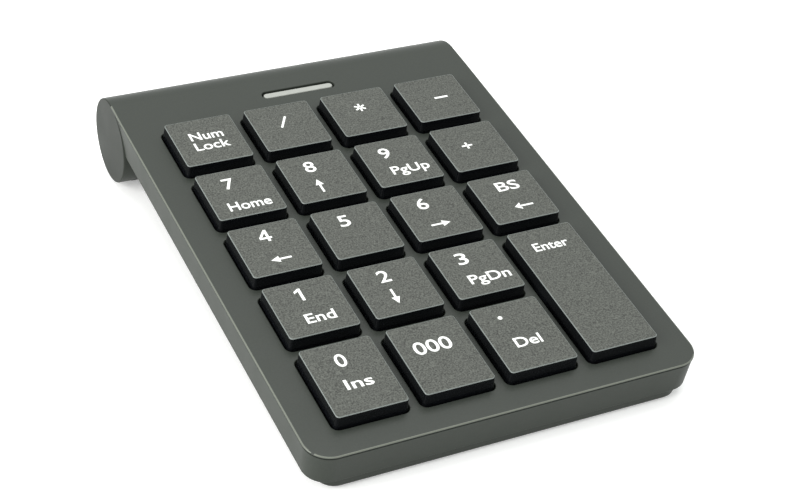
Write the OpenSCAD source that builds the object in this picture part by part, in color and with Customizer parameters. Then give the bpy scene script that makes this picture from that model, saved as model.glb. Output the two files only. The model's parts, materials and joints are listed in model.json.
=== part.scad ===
// Cordless numeric keypad: a thin sloping case with a round battery tube along its rear edge.
// Every module is drawn in the plate frame: the flat key tops lie in the plane z = 0, x = 0 is the
// middle of the case and y = 0 the middle key row. seated() then tips the whole keypad onto its feet.

/* [Key grid] */
// Distance between neighbouring key centres
key_pitch = 19; // [19:0.05:19.2]
// Width and depth of a standard keycap across its flat top
key_w = 15.5; // [15:0.1:15.6]
// Depth of the keys in the front row
front_key_d = 19; // [18:0.1:19.2]
// Height of the key tops above the top plate
key_rise = 2.8; // [2.4:0.1:3.2]
// How far a key travels when it is pressed
key_travel = 2; // [1.6:0.1:2.2]
// Gap between a key top's outline and the edge of its window
window_gap = 0.65; // [0.55:0.05:0.75]

/* [Case] */
// Overall width of the case
case_w = 88; // [88:0.2:91]
// Distance from the middle key row to the front edge
case_front = 56.2; // [56.2:0.2:58]
// Depth of the case walls below the top plate's face
wall_h = 7.6; // [7.6:0.1:8.4]
// Corner radius of the top plate in plan
corner_r = 5.5; // [4:0.5:7]
// Thickness of the top plate
plate_t = 1.6; // [1.4:0.1:1.6]
// How far the side walls lean in, per millimetre of height
wall_lean = 0.06; // [0.02:0.01:0.08]
// How far the bottom cover stands below the case walls
base_drop = 2.1; // [1.7:0.1:2.2]

/* [Battery tube] */
// Outer radius of the tube along the rear edge
tube_r = 9.9; // [9.8:0.1:10.4]
// Distance from the middle key row to the tube's axis
tube_y = 59.3; // [59.3:0.1:61]
// Wall thickness of the tube
tube_wall = 1.8; // [1.6:0.1:1.8]
// Diameter of the battery cell
cell_d = 14.5; // [14:0.1:14.5]
// Length of the battery cell without its button
cell_l = 49.5; // [48:0.5:49.5]

/* [Status window] */
// Length of the pale lens
lens_l = 17.4; // [14:0.2:18]
// Width of the pale lens
lens_w = 1.7; // [1.2:0.1:1.8]
// Dark gap round the lens
lens_gap = 0.45; // [0.3:0.05:0.5]
// Distance from the middle key row to the lens
lens_y = 53.4; // [52.8:0.1:53.4]

/* [Feet] */
// How far the feet hold the case off the table
foot_proud = 0.6; // [0.5:0.1:1]

/* [Hidden] */
$fn = 48;

// Key table: name, column, row and the front and rear edges of the top, counted from the middle row.
function row_y(r) = (2 - r) * key_pitch;
front_line = row_y(4) + key_w / 2 - front_key_d;
function key(name, col, row) =
    [name, (col - 1.5) * key_pitch, row_y(row) - key_w / 2, row_y(row) + key_w / 2];
function front_key(name, col) = [name, (col - 1.5) * key_pitch, front_line, row_y(4) + key_w / 2];
ENTER = ["key_enter", 1.5 * key_pitch, front_line, row_y(3) + key_w / 2];
KEYS = [
    key("key_num_lock", 0, 0), key("key_divide", 1, 0), key("key_multiply", 2, 0), key("key_minus", 3, 0),
    key("key_7", 0, 1), key("key_8", 1, 1), key("key_9", 2, 1), key("key_plus", 3, 1),
    key("key_4", 0, 2), key("key_5", 1, 2), key("key_6", 2, 2), key("key_backspace", 3, 2),
    key("key_1", 0, 3), key("key_2", 1, 3), key("key_3", 2, 3), ENTER,
    front_key("key_0", 0), front_key("key_triple_zero", 1), front_key("key_decimal", 2)
];
function key_depth(k) = k[3] - k[2];
function key_mid(k) = (k[2] + k[3]) / 2;

// Levels, from the key tops down
slop = 0.1;
thin = 0.01;
plate_top = -key_rise;
plate_under = plate_top - plate_t;
lip_h = 0.7;
lip_chamfer = 0.3;
lip_step = 0.1;
wall_bottom = plate_top - wall_h;
base_bottom = wall_bottom - base_drop;
floor_z = wall_bottom;
film_t = 0.12;
dome_base_t = 0.3;
sheet_z = floor_z + 3 * film_t;
frame_z = sheet_z + dome_base_t;
frame_t = 1;
frame_top = frame_z + frame_t;
key_roof = 1.2;
skirt_wall = 1;
skirt_flare = 0.3;
flange_t = 0.7;
flange_lip = 0.85;
flange_top = plate_under - slop;
skirt_bottom = flange_top - flange_t;
stem_r = 4.6;
stem_bore_r = 3.6;
plunger_r = 2;
stem_end = frame_top + 1.6;
sleeve_wall = 0.9;
sleeve_top = flange_top - 0.6;
dome_r = 4.2;
dome_top_r = 2.6;
dome_wall = 0.5;
post_r = 1.9;
post_y = 11;

// Case outline and hollow
half_w = case_w / 2;
side_wall = 2.5;
front_wall = 2.4;
cavity_w = 2 * (half_w - side_wall);
cavity_front = -case_front + front_wall;
ledge_t = 1.2;
ledge_w = 1.8;
base_w = case_w - 6;
base_front = -case_front + 0.7;
base_rear = tube_y - tube_r - 0.3;
base_r = 4;
edge_round = 0.6;
window_r = 1.6;
rim_t = 0.8;
rim_h = 0.9;
opening_w = cavity_w - 2 * ledge_w;
front_ledge = 1.4;
opening_front = cavity_front + front_ledge;
sheet_w = opening_w - 2 * rim_t - 0.8;
sheet_front = opening_front + rim_t + 0.7;
sheet_rear = row_y(0) + key_w / 2 + 0.8;

// Battery tube
tube_z = plate_top - tube_r;
tube_inner = tube_r - tube_wall;
end_inner = half_w - 4;
door_l = 54;
door_w = 15;
door_slop = 0.15;
bay_wall_x = 29.5;
bay_wall_t = 1.2;
contact_t = 0.4;
lead_r = 0.4;

// Electronics
board_z = plate_under - 2.9;
board_t = 1;
board_x0 = -25;
board_x1 = 33;
board_y0 = sheet_rear + 1.2;
board_y1 = lens_y + 0.9;
clamp_x = 14;
clamp_y = board_y0 + 3;
clamp_t = 1.1;
screw_r = 0.7;
head_r = 1.35;
head_t = 0.8;
boss_r = 1.5;
boss_bore = 0.75;
tail_w = 20;
switch_x = 27;
switch_y = board_y0 + 1.3;
switch_l = 8;
switch_w = 2.4;
knob_throw = 2;
case_screw_at = [[-20, cavity_front + 1.3], [20, cavity_front + 1.3],
                 [-opening_w / 2 + 1.4, sheet_rear + 1.7], [opening_w / 2 - 1.4, sheet_rear + 1.7]];
rest_post_r = 0.6;
rest_post_at = [for (sx = [-1, 1], y = [-40, 0, 38]) [sx * (sheet_w / 2 - 0.3), y]];

// Feet
foot_r = 4;
foot_sink = 0.8;
front_foot_at = [[-33, -44], [33, -44]];
rear_foot_x = 35.5;
rear_foot_l = 8;
rear_foot_w = 5;

// Slope: the front edge of the base and the underside of the tube stand equally high
slope_run = tube_y - base_front;
slope_rise = base_bottom - tube_z;
slope = asin(tube_r / norm([slope_run, slope_rise])) + atan2(slope_rise, slope_run);
seat_z = foot_proud + tube_r - tube_y * sin(slope) - tube_z * cos(slope);
front_reach = case_front * cos(slope) + (plate_top - lip_chamfer) * sin(slope);
rear_reach = tube_y * cos(slope) - tube_z * sin(slope) + tube_r;
seat_y = (front_reach - rear_reach) / 2;

// Enter key stabiliser
wire_r = 0.4;
wire_x = ENTER[1] + 7.9;
hook_reach = 6.3;
hook_y = 15.8;
wire_z = frame_top + 0.65;
hook_lift = 1.95;
hook_angle = asin(hook_lift / hook_reach);
hook_x = wire_x - hook_reach * cos(hook_angle);

module seated() {
    translate([0, seat_y, seat_z]) rotate([slope, 0, 0]) children();
}

// Plan shape from y0 to y1 with rounded front corners, and rounded rear corners if rr is given
module plan(w, y0, y1, r, rr = 0) {
    translate([-w / 2, y0 + r]) square([w, y1 - y0 - r - rr]);
    translate([-w / 2 + r, y0]) square([w - 2 * r, r + thin]);
    for (s = [-1, 1]) translate([s * (w / 2 - r), y0 + r]) circle(r);
    if (rr > 0) {
        translate([-w / 2 + rr, y1 - rr - thin]) square([w - 2 * rr, rr + thin]);
        for (s = [-1, 1]) translate([s * (w / 2 - rr), y1 - rr]) circle(rr);
    }
}

module slab(w, y0, y1, r, z0, z1, rr = 0) {
    translate([0, 0, z0]) linear_extrude(z1 - z0) plan(w, y0, y1, r, rr);
}

module rod(r, z0, z1) {
    translate([0, 0, z0]) cylinder(r = r, h = z1 - z0);
}

// A cylinder that lies along the width of the case at y, z
module cross_rod(r, l, y, z) {
    translate([-l / 2, y, z]) rotate([0, 90, 0]) cylinder(r = r, h = l);
}

module box(x0, x1, y0, y1, z0, z1) {
    translate([x0, y0, z0]) cube([x1 - x0, y1 - y0, z1 - z0]);
}

// Long slot shape with round ends
module stadium(l, w, z0, z1) {
    translate([0, 0, z0]) linear_extrude(z1 - z0) {
        square([l - w, w], center = true);
        for (s = [-1, 1]) translate([s * (l - w) / 2, 0]) circle(w / 2);
    }
}

// Bevelled plate edge, then a fine step in to the leaning wall, which rounds under at its foot
module case_block() {
    lean_foot = lip_step + wall_lean * (wall_h - lip_h);
    slab(case_w, -case_front, tube_y, corner_r, plate_top - lip_h, plate_top - lip_chamfer);
    hull() {
        slab(case_w, -case_front, tube_y, corner_r, plate_top - lip_chamfer - thin, plate_top - lip_chamfer);
        slab(case_w - 2 * lip_chamfer, -case_front + lip_chamfer, tube_y, corner_r - lip_chamfer,
             plate_top - thin, plate_top);
    }
    hull() {
        slab(case_w - 2 * lip_step, -case_front + lip_step, tube_y, corner_r - lip_step,
             plate_top - lip_h - thin, plate_top - lip_h);
        slab(case_w - 2 * lean_foot, -case_front + lean_foot, tube_y, corner_r - lip_step,
             wall_bottom + edge_round, wall_bottom + edge_round + thin);
        slab(case_w - 2 * lean_foot - 0.6 * edge_round, -case_front + lean_foot + 0.3 * edge_round, tube_y,
             corner_r - lip_step, wall_bottom + 0.3 * edge_round, wall_bottom + 0.3 * edge_round + thin);
        slab(case_w - 2 * lean_foot - 2 * edge_round, -case_front + lean_foot + edge_round, tube_y,
             corner_r - edge_round, wall_bottom, wall_bottom + thin);
    }
}

module key_window(k) {
    translate([k[1], 0, 0])
        slab(key_w + 2 * window_gap, k[2] - window_gap, k[3] + window_gap, window_r,
             plate_under - 1, plate_top + 1, window_r);
}

module top_cover() color([0.33, 0.35, 0.33]) {
    difference() {
        union() {
            case_block();
            cross_rod(tube_r, case_w - 2 * lip_step, tube_y, tube_z);
        }
        box(-cavity_w / 2, cavity_w / 2, cavity_front, tube_y, wall_bottom + ledge_t, plate_under);
        slab(opening_w, opening_front, tube_y, 2, wall_bottom - 1, plate_under - 1);
        cross_rod(tube_inner, 2 * end_inner, tube_y, tube_z);
        box(-end_inner, end_inner, base_rear - 1, tube_y + tube_r + 1, tube_z - tube_r - 1, tube_z);
        box(-end_inner, end_inner, base_rear - 1, tube_y, tube_z - 1, wall_bottom);
        for (k = KEYS) key_window(k);
        translate([0, lens_y, 0])
            stadium(lens_l + 2 * lens_gap, lens_w + 2 * lens_gap, plate_under - 1, plate_top + 1);
        for (p = case_screw_at) translate(p) rod(boss_bore, wall_bottom - 1, plate_under - 1);
    }
    for (p = case_screw_at) translate(p) difference() {
        rod(boss_r, wall_bottom + slop, plate_under + thin);
        rod(boss_bore, wall_bottom, plate_under - 0.6);
    }
    for (s = [-1, 1]) translate([s * clamp_x, clamp_y]) difference() {
        rod(boss_r, board_z + board_t, plate_under + thin);
        rod(boss_bore, board_z, plate_under - 0.2);
    }
    for (p = rest_post_at) translate(p) rod(rest_post_r, frame_top, plate_under + thin);
}

// Space that the battery door fills, with or without its running gap
module door_space(gap) {
    box(-door_l / 2 - gap, door_l / 2 + gap, tube_y - door_w / 2 - gap, tube_y + door_w / 2 + gap,
        tube_z - tube_r - 1, tube_z - 2);
}

module bottom_cover() color([0.25, 0.27, 0.25]) {
    difference() {
        union() {
            slab(base_w, base_front, base_rear, base_r, base_bottom + 0.8, floor_z);
            hull() {
                slab(base_w, base_front, base_rear, base_r, base_bottom + 0.8 - thin, base_bottom + 0.8);
                slab(base_w - 1.2, base_front + 0.6, base_rear, base_r - 0.6,
                     base_bottom, base_bottom + thin);
            }
            box(-end_inner + slop, end_inner - slop, base_rear - 1, base_rear + 1.8, base_bottom, floor_z);
            difference() {
                cross_rod(tube_r, 2 * (end_inner - slop), tube_y, tube_z);
                box(-half_w, half_w, tube_y, tube_y + tube_r + 1, tube_z - slop, plate_top + 1);
                box(-half_w, half_w, tube_y - tube_r - 1, tube_y + thin, wall_bottom - slop, plate_top + 1);
            }
        }
        cross_rod(tube_inner, case_w, tube_y, tube_z);
        door_space(door_slop);
        for (p = case_screw_at) translate(p) {
            rod(screw_r + 0.15, base_bottom - 1, floor_z + 1);
            rod(head_r + 0.1, base_bottom - 1, base_bottom + head_t + 0.1);
        }
        for (p = front_foot_at) translate(p) rod(foot_r + 0.05, base_bottom - 1, base_bottom + foot_sink);
        for (s = [-1, 1]) rear_foot_block(s, 0.05);
        box(switch_x - 2.4, switch_x + 2.4, switch_y - 0.9, switch_y + 0.9, base_bottom - 1, floor_z + 1);
    }
    base_rim();
    for (s = [-1, 1]) bay_wall(s);
}

// Low rim that locates the bottom cover inside the case opening
module base_rim() {
    difference() {
        slab(opening_w - 0.3, opening_front + 0.15, sheet_rear + 1.1, 2, floor_z - thin, floor_z + rim_h);
        slab(opening_w - 0.3 - 2 * rim_t, opening_front + 0.15 + rim_t, sheet_rear + 2, 1.2,
             floor_z - 1, floor_z + rim_h + 1);
        for (p = case_screw_at) translate(p) rod(boss_r + 0.3, floor_z - 1, floor_z + 2);
    }
}

// Partition that closes one end of the battery bay
module bay_wall(side) {
    intersection() {
        cross_rod(tube_inner + thin, 2 * half_w, tube_y, tube_z);
        box(side * bay_wall_x - bay_wall_t / 2, side * bay_wall_x + bay_wall_t / 2,
            tube_y - tube_r, tube_y + tube_r, tube_z - tube_r, tube_z + 3);
    }
}

module status_lens() color([0.8, 0.81, 0.78]) {
    translate([0, lens_y, 0]) {
        stadium(lens_l, lens_w, plate_under, plate_top - 0.2);
        stadium(lens_l + 3, lens_w + 2, plate_under - 0.8, plate_under);
    }
}

module battery_door() color([0.3, 0.32, 0.3]) {
    intersection() {
        difference() {
            cross_rod(tube_r, door_l, tube_y, tube_z);
            cross_rod(tube_inner, door_l + 2, tube_y, tube_z);
        }
        door_space(0);
    }
}

// Keycap with a flange below the top plate, a guide stem and a plunger over its dome
module keycap(k) {
    d = key_depth(k);
    grow = 2 * skirt_flare;
    color([0.42, 0.43, 0.42]) translate([k[1], key_mid(k), 0]) {
        difference() {
            union() {
                hull() {
                    slab(key_w, -d / 2, d / 2, 0.7, -thin, 0, 0.7);
                    slab(key_w + grow, -d / 2 - skirt_flare, d / 2 + skirt_flare, 0.9,
                         flange_top, flange_top + thin, 0.9);
                }
                slab(key_w + grow + 2 * flange_lip, -d / 2 - skirt_flare - flange_lip,
                     d / 2 + skirt_flare + flange_lip, 1.2, skirt_bottom, flange_top + thin, 1.2);
            }
            box(-key_w / 2 + skirt_wall, key_w / 2 - skirt_wall, -d / 2 + skirt_wall, d / 2 - skirt_wall,
                skirt_bottom - 1, -key_roof);
        }
        difference() {
            rod(stem_r, stem_end, -key_roof + thin);
            rod(stem_bore_r, stem_end - 1, -key_roof);
        }
        rod(plunger_r, stem_end, -key_roof + thin);
        if (k[0] == "key_enter") enter_extras();
    }
}

// Side posts and the two slotted tabs that take the ends of the stabiliser wire
module enter_extras() {
    for (s = [-1, 1]) translate([0, s * post_y, 0]) rod(post_r, stem_end, -key_roof + thin);
    for (s = [-1, 1]) difference() {
        box(hook_x - ENTER[1] - 1.7, hook_x - ENTER[1] + 1.7, s * hook_y - 0.6, s * hook_y + 0.6,
            wire_z + hook_lift - 1.1, -key_roof + thin);
        box(hook_x - ENTER[1] - 1, hook_x - ENTER[1] + 1, s * hook_y - 1, s * hook_y + 1,
            wire_z + hook_lift - 0.6, wire_z + hook_lift + 0.6);
    }
}

// Guide plate: one sleeve over every dome, and two more for the long Enter key
module key_frame() color([0.12, 0.12, 0.13]) {
    difference() {
        union() {
            slab(sheet_w, sheet_front, sheet_rear, 1.5, frame_z, frame_top, 1.5);
            for (k = KEYS) translate([k[1], key_mid(k), 0])
                rod(stem_r + slop + sleeve_wall, frame_z, sleeve_top);
            for (s = [-1, 1]) translate([ENTER[1], key_mid(ENTER) + s * post_y, 0])
                rod(post_r + slop + sleeve_wall, frame_z, sleeve_top);
        }
        for (k = KEYS) translate([k[1], key_mid(k), 0]) rod(stem_r + slop, frame_z - 1, sleeve_top + 1);
        for (s = [-1, 1]) translate([0, key_mid(ENTER) + s * post_y, 0]) translate([ENTER[1], 0, 0])
            rod(post_r + slop, frame_z - 1, sleeve_top + 1);
        for (s = [-1, 1]) translate([hook_x, key_mid(ENTER) + s * hook_y, 0])
            box(-2, 2, -1, 1, frame_z - 1, frame_top + 1);
    }
    for (s = [-1, 1]) wire_clip(s);
}

// Saddle that holds the stabiliser wire down on the guide plate
module wire_clip(side) {
    y = key_mid(ENTER) + side * 8;
    difference() {
        box(wire_x - 1, wire_x + 1, y - 0.8, y + 0.8, frame_top - thin, wire_z + 0.75);
        translate([wire_x, y + 1, wire_z]) rotate([90, 0, 0]) cylinder(r = wire_r + 0.08, h = 2);
    }
}

module wire_run(from, to) {
    d = to - from;
    translate(from) rotate([0, acos(d[2] / norm(d)), atan2(d[1], d[0])])
        cylinder(r = wire_r, h = norm(d), $fn = 24);
}

// U-shaped spring wire that keeps the long Enter key level
module enter_stabilizer() color([0.72, 0.73, 0.75]) {
    mid = key_mid(ENTER);
    for (s = [-1, 1]) {
        corner = [wire_x, mid + s * (hook_y - 1.2), wire_z];
        tip = [hook_x, mid + s * (hook_y - 1.2), wire_z + hook_lift];
        wire_run(corner, tip);
        wire_run(tip, tip + [0, s * 2, 0]);
        translate(corner) sphere(wire_r, $fn = 24);
        translate(tip) sphere(wire_r, $fn = 24);
    }
    wire_run([wire_x, mid - hook_y + 1.2, wire_z], [wire_x, mid + hook_y - 1.2, wire_z]);
}

// Silicone sheet with one hollow dome under every key
module dome_sheet() color([0.75, 0.78, 0.76]) {
    difference() {
        union() {
            slab(sheet_w, sheet_front, sheet_rear, 1.5, sheet_z, frame_z, 1.5);
            for (k = KEYS) translate([k[1], key_mid(k), frame_z - thin])
                cylinder(r1 = dome_r, r2 = dome_top_r, h = stem_end - frame_z + thin);
        }
        for (k = KEYS) translate([k[1], key_mid(k), sheet_z - thin])
            cylinder(r1 = dome_r - dome_wall, r2 = dome_top_r - dome_wall,
                     h = stem_end - sheet_z - dome_wall);
    }
}

module film(level) {
    slab(sheet_w, sheet_front, sheet_rear, 1.5,
         floor_z + level * film_t, floor_z + (level + 1) * film_t, 1.5);
}

// Contact films: two printed sheets held apart by a spacer with a hole under every dome
module lower_membrane() color([0.55, 0.62, 0.6]) film(0);

module spacer_membrane() color([0.8, 0.82, 0.8]) difference() {
    film(1);
    for (k = KEYS) translate([k[1], key_mid(k), floor_z]) rod(2.5, 0, 1);
}

module upper_membrane() color([0.6, 0.66, 0.64]) {
    film(2);
    z0 = floor_z + 2 * film_t;
    translate([-tail_w / 2, 0, 0]) rotate([90, 0, 90]) linear_extrude(tail_w)
        polygon([[sheet_rear - 1, z0], [sheet_rear + 0.6, z0], [sheet_rear + 2, board_z - film_t],
                 [clamp_y + 2, board_z - film_t], [clamp_y + 2, board_z], [sheet_rear + 1.9, board_z],
                 [sheet_rear + 0.5, z0 + film_t], [sheet_rear - 1, z0 + film_t]]);
}

module circuit_board() color([0.1, 0.35, 0.2]) difference() {
    box(board_x0, board_x1, board_y0, board_y1, board_z, board_z + board_t);
    for (s = [-1, 1]) translate([s * clamp_x, clamp_y]) rod(screw_r + 0.1, board_z - 1, board_z + 2);
}

module controller_chip() color([0.08, 0.08, 0.08]) {
    top = board_z + board_t;
    box(-22, -17, clamp_y - 2.2, clamp_y + 2.2, top, top + 1);
}

module status_lamp() color([0.95, 0.95, 0.85]) {
    top = board_z + board_t;
    box(-0.8, 0.8, lens_y - 0.6, lens_y + 0.6, top, top + 0.7);
    translate([0, lens_y, 0]) rod(0.45, top + 0.7 - thin, top + 1);
}

module membrane_clamp() color([0.2, 0.2, 0.22]) difference() {
    box(-clamp_x - 2.5, clamp_x + 2.5, clamp_y - 1.5, clamp_y + 1.5,
        board_z - film_t - clamp_t, board_z - film_t);
    for (s = [-1, 1]) translate([s * clamp_x, clamp_y]) rod(screw_r + 0.1, board_z - 3, board_z + 1);
}

// Pan-head screw that points up, with its head's underside at z
module screw(z, reach) {
    rod(screw_r, z - thin, z + reach);
    difference() {
        rod(head_r, z - head_t, z);
        for (a = [0, 90]) rotate(a) box(-0.9, 0.9, -0.18, 0.18, z - head_t - 1, z - head_t + 0.4);
    }
}

module clamp_screws() color([0.7, 0.7, 0.72])
    for (s = [-1, 1]) translate([s * clamp_x, clamp_y]) screw(board_z - film_t - clamp_t, 3.5);

module case_screws() color([0.7, 0.7, 0.72])
    for (p = case_screw_at) translate(p) screw(base_bottom + head_t + 0.1, 6);

module switch_housing() color([0.15, 0.15, 0.16]) difference() {
    box(switch_x - switch_l / 2, switch_x + switch_l / 2, switch_y - switch_w / 2, switch_y + switch_w / 2,
        floor_z + 0.1, board_z);
    box(switch_x - 2.6, switch_x + 2.6, switch_y - 0.75, switch_y + 0.75, floor_z, board_z - 0.6);
}

// Switch knob at one end of its throw, standing just short of the base's underside
module switch_knob() color([0.8, 0.8, 0.8]) {
    x = switch_x - knob_throw / 2;
    box(x - 1.1, x + 1.1, switch_y - 0.65, switch_y + 0.65, base_bottom + 0.5, board_z - 0.8);
    for (i = [-1, 0, 1]) box(x + 0.7 * i - 0.15, x + 0.7 * i + 0.15, switch_y - 0.65, switch_y + 0.65,
                             base_bottom + 0.2, base_bottom + 0.5 + thin);
}

module battery_cell() color([0.2, 0.35, 0.55]) {
    cross_rod(cell_d / 2, cell_l, tube_y, tube_z);
    translate([cell_l / 2 - thin, tube_y, tube_z]) rotate([0, 90, 0]) cylinder(r = 2.7, h = 1);
}

module battery_contact() color([0.85, 0.8, 0.6]) {
    x = bay_wall_x - bay_wall_t / 2;
    box(x - contact_t, x, tube_y - 4, tube_y + 4, tube_z - 4, tube_z + 4.5);
    box(x - contact_t - 2.6, x - contact_t + thin, tube_y - 1.5, tube_y + 1.5, tube_z - 1.5, tube_z + 1.5);
}

// Side triangles of a tube of rings, each ring with the same number of points
function tube_faces(rings, sides) = [
    for (i = [0:rings - 1], j = [0:sides - 1], half = [0, 1])
        let (a = i * sides + j, b = i * sides + (j + 1) % sides)
        half == 0 ? [a, b, b + sides] : [a, b + sides, a + sides]
];

// Tapered coil spring between the bay wall and the flat end of the cell
module battery_spring() {
    wire = 0.35;
    start_x = -bay_wall_x + bay_wall_t / 2 + wire;
    reach = -cell_l / 2 - wire - slop - start_x;
    turns = 3;
    steps = 14 * turns;
    sides = 8;
    function turn(i) = 360 * turns * i / steps;
    function coil_r(i) = 3.6 - 1.2 * i / steps;
    function coil(i) = [start_x + reach * i / steps, tube_y + coil_r(i) * cos(turn(i)),
                        tube_z + coil_r(i) * sin(turn(i))];
    function rim(a, b) = wire * [sin(b), cos(a) * cos(b), sin(a) * cos(b)];
    points = [for (i = [0:steps], j = [0:sides - 1]) coil(i) + rim(turn(i), 360 * j / sides)];
    faces = [
        [for (j = [sides - 1:-1:0]) j],
        [for (j = [0:sides - 1]) steps * sides + j],
        each tube_faces(steps, sides)
    ];
    color([0.8, 0.8, 0.78]) polyhedron(points, faces);
}

// Insulated lead that runs through the given points
module lead(points) {
    sides = 8;
    last = len(points) - 1;
    function unit(v) = v / norm(v);
    function heading(i) = unit(points[min(i + 1, last)] - points[max(i - 1, 0)]);
    function across(i) = unit(cross(heading(i), [0.2, 1, 0.4]));
    function rim(i, a) = points[i] + lead_r * (cos(a) * across(i) + sin(a) * cross(heading(i), across(i)));
    faces = [
        [for (j = [sides - 1:-1:0]) j],
        [for (j = [0:sides - 1]) last * sides + j],
        each tube_faces(last, sides)
    ];
    polyhedron([for (i = [0:last], j = [0:sides - 1]) rim(i, 360 * j / sides)], faces);
}

// Route of a lead from the top of a battery contact at x = from to the board at x = to
function lead_route(from, to) = let (top = board_z + board_t) [
    [from, tube_y - 0.5, tube_z + 5.2], [from, tube_y - 1.2, top + 0.6],
    [from + 0.3 * (to - from), tube_y - 3, top + 1.1],
    [to, board_y1 + 0.4, top + 1.1], [to, board_y1 - 1.2, top + 0.9], [to, board_y1 - 1.9, top + 0.1]
];

module positive_lead() color([0.75, 0.1, 0.1]) lead(lead_route(bay_wall_x - 1.2, board_x1 - 4));

module negative_lead() color([0.1, 0.1, 0.1]) lead(lead_route(-bay_wall_x + 1.2, board_x0 + 1.5));

// Round rubber pad in the base, cut level with the table
module front_feet() color([0.1, 0.1, 0.1]) {
    intersection() {
        seated() for (p = front_foot_at) translate(p) rod(foot_r, base_bottom - 3, base_bottom + foot_sink);
        translate([-half_w, -case_front - 20, 0]) cube([case_w, 2 * case_front, 20]);
    }
}

// Pocket in the tube's underside for a rear pad, level with the table
module rear_foot_block(side, gap) {
    rotate([-slope, 0, 0]) translate([0, -seat_y, -seat_z]) rear_pad(side, gap);
}

module rear_pad(side, gap) {
    y = seat_y + tube_y * cos(slope) - tube_z * sin(slope);
    translate([side * rear_foot_x, y, 0])
        box(-rear_foot_l / 2 - gap, rear_foot_l / 2 + gap, -rear_foot_w / 2 - gap, rear_foot_w / 2 + gap,
            -gap, foot_proud + foot_sink + gap);
}

module rear_feet() color([0.1, 0.1, 0.1]) {
    for (s = [-1, 1]) rear_pad(s, 0);
}

seated() top_cover();
seated() bottom_cover();
seated() status_lens();
seated() battery_door();
for (k = KEYS) seated() keycap(k);
seated() key_frame();
seated() enter_stabilizer();
seated() dome_sheet();
seated() upper_membrane();
seated() spacer_membrane();
seated() lower_membrane();
seated() circuit_board();
seated() controller_chip();
seated() status_lamp();
seated() membrane_clamp();
seated() clamp_screws();
seated() switch_housing();
seated() switch_knob();
seated() battery_cell();
seated() battery_spring();
seated() battery_contact();
seated() negative_lead();
seated() positive_lead();
seated() case_screws();
front_feet();
rear_feet();
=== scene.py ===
import json
import math

import bmesh
import bpy
from mathutils import Matrix, Vector


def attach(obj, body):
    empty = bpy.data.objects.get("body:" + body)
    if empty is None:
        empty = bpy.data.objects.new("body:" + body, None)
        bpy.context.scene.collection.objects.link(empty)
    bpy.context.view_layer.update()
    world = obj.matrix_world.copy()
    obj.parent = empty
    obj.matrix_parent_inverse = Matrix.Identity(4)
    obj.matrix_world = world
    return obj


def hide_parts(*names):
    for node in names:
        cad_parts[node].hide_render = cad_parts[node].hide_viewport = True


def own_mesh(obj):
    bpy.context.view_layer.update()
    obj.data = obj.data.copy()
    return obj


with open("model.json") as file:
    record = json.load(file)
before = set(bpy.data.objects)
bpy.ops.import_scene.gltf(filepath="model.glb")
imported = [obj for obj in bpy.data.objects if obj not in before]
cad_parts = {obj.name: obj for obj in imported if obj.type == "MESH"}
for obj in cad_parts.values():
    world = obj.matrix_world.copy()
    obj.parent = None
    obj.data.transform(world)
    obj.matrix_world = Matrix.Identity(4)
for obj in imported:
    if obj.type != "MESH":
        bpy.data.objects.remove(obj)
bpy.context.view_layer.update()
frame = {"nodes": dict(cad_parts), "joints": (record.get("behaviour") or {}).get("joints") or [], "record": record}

scene = bpy.context.scene
MM = 0.001

# ---------------------------------------------------------------- plate frame
# The plate frame has the key tops in z = 0, the middle key row at y = 0 and millimetres as its unit.
press = next(j for j in frame["joints"] if j["name"] == "press_num_lock")
tilt = Matrix.Rotation(math.atan2(press["axis"][1], -press["axis"][2]), 4, "X")


def corners_in(matrix, node):
    """Lowest and highest corner of a CAD node after the matrix."""
    points = [matrix @ v.co for v in frame["nodes"][node].data.vertices]
    low = Vector([min(p[i] for p in points) for i in range(3)])
    high = Vector([max(p[i] for p in points) for i in range(3)])
    return low, high


level_low, level_high = corners_in(tilt.inverted(), "key_5")
origin = Vector((0, (level_low.y + level_high.y) / 2, level_high.z))
plate_to_world = tilt @ Matrix.Translation(origin) @ Matrix.Scale(MM, 4)
world_to_plate = plate_to_world.inverted()


def plate_box(node):
    return corners_in(world_to_plate, node)


# ---------------------------------------------------------------- camera
# Aim and distance in millimetres and angles in degrees, all in the plate frame
AIM = Vector((-3.525, -8.729, 0.0))
AZIMUTH, ELEVATION, ROLL = 31.607, 40.258, 9.281
DISTANCE = 391.07
LENS = 83.53


def add_camera():
    azimuth, elevation, roll = (math.radians(a) for a in (AZIMUTH, ELEVATION, ROLL))
    forward = Vector((math.sin(azimuth) * math.cos(elevation), math.cos(azimuth) * math.cos(elevation),
                      -math.sin(elevation)))
    level_right = forward.cross(Vector((0, 0, 1))).normalized()
    level_up = level_right.cross(forward)
    right = math.cos(roll) * level_right + math.sin(roll) * level_up
    up = right.cross(forward)
    data = bpy.data.cameras.new("camera")
    data.lens = LENS
    data.sensor_width = 36
    camera = bpy.data.objects.new("camera", data)
    scene.collection.objects.link(camera)
    turn = Matrix((right, up, -forward)).transposed().to_4x4()
    camera.matrix_world = Matrix.Translation(plate_to_world @ (AIM - forward * DISTANCE)) @ tilt @ turn
    scene.camera = camera


add_camera()

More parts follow.
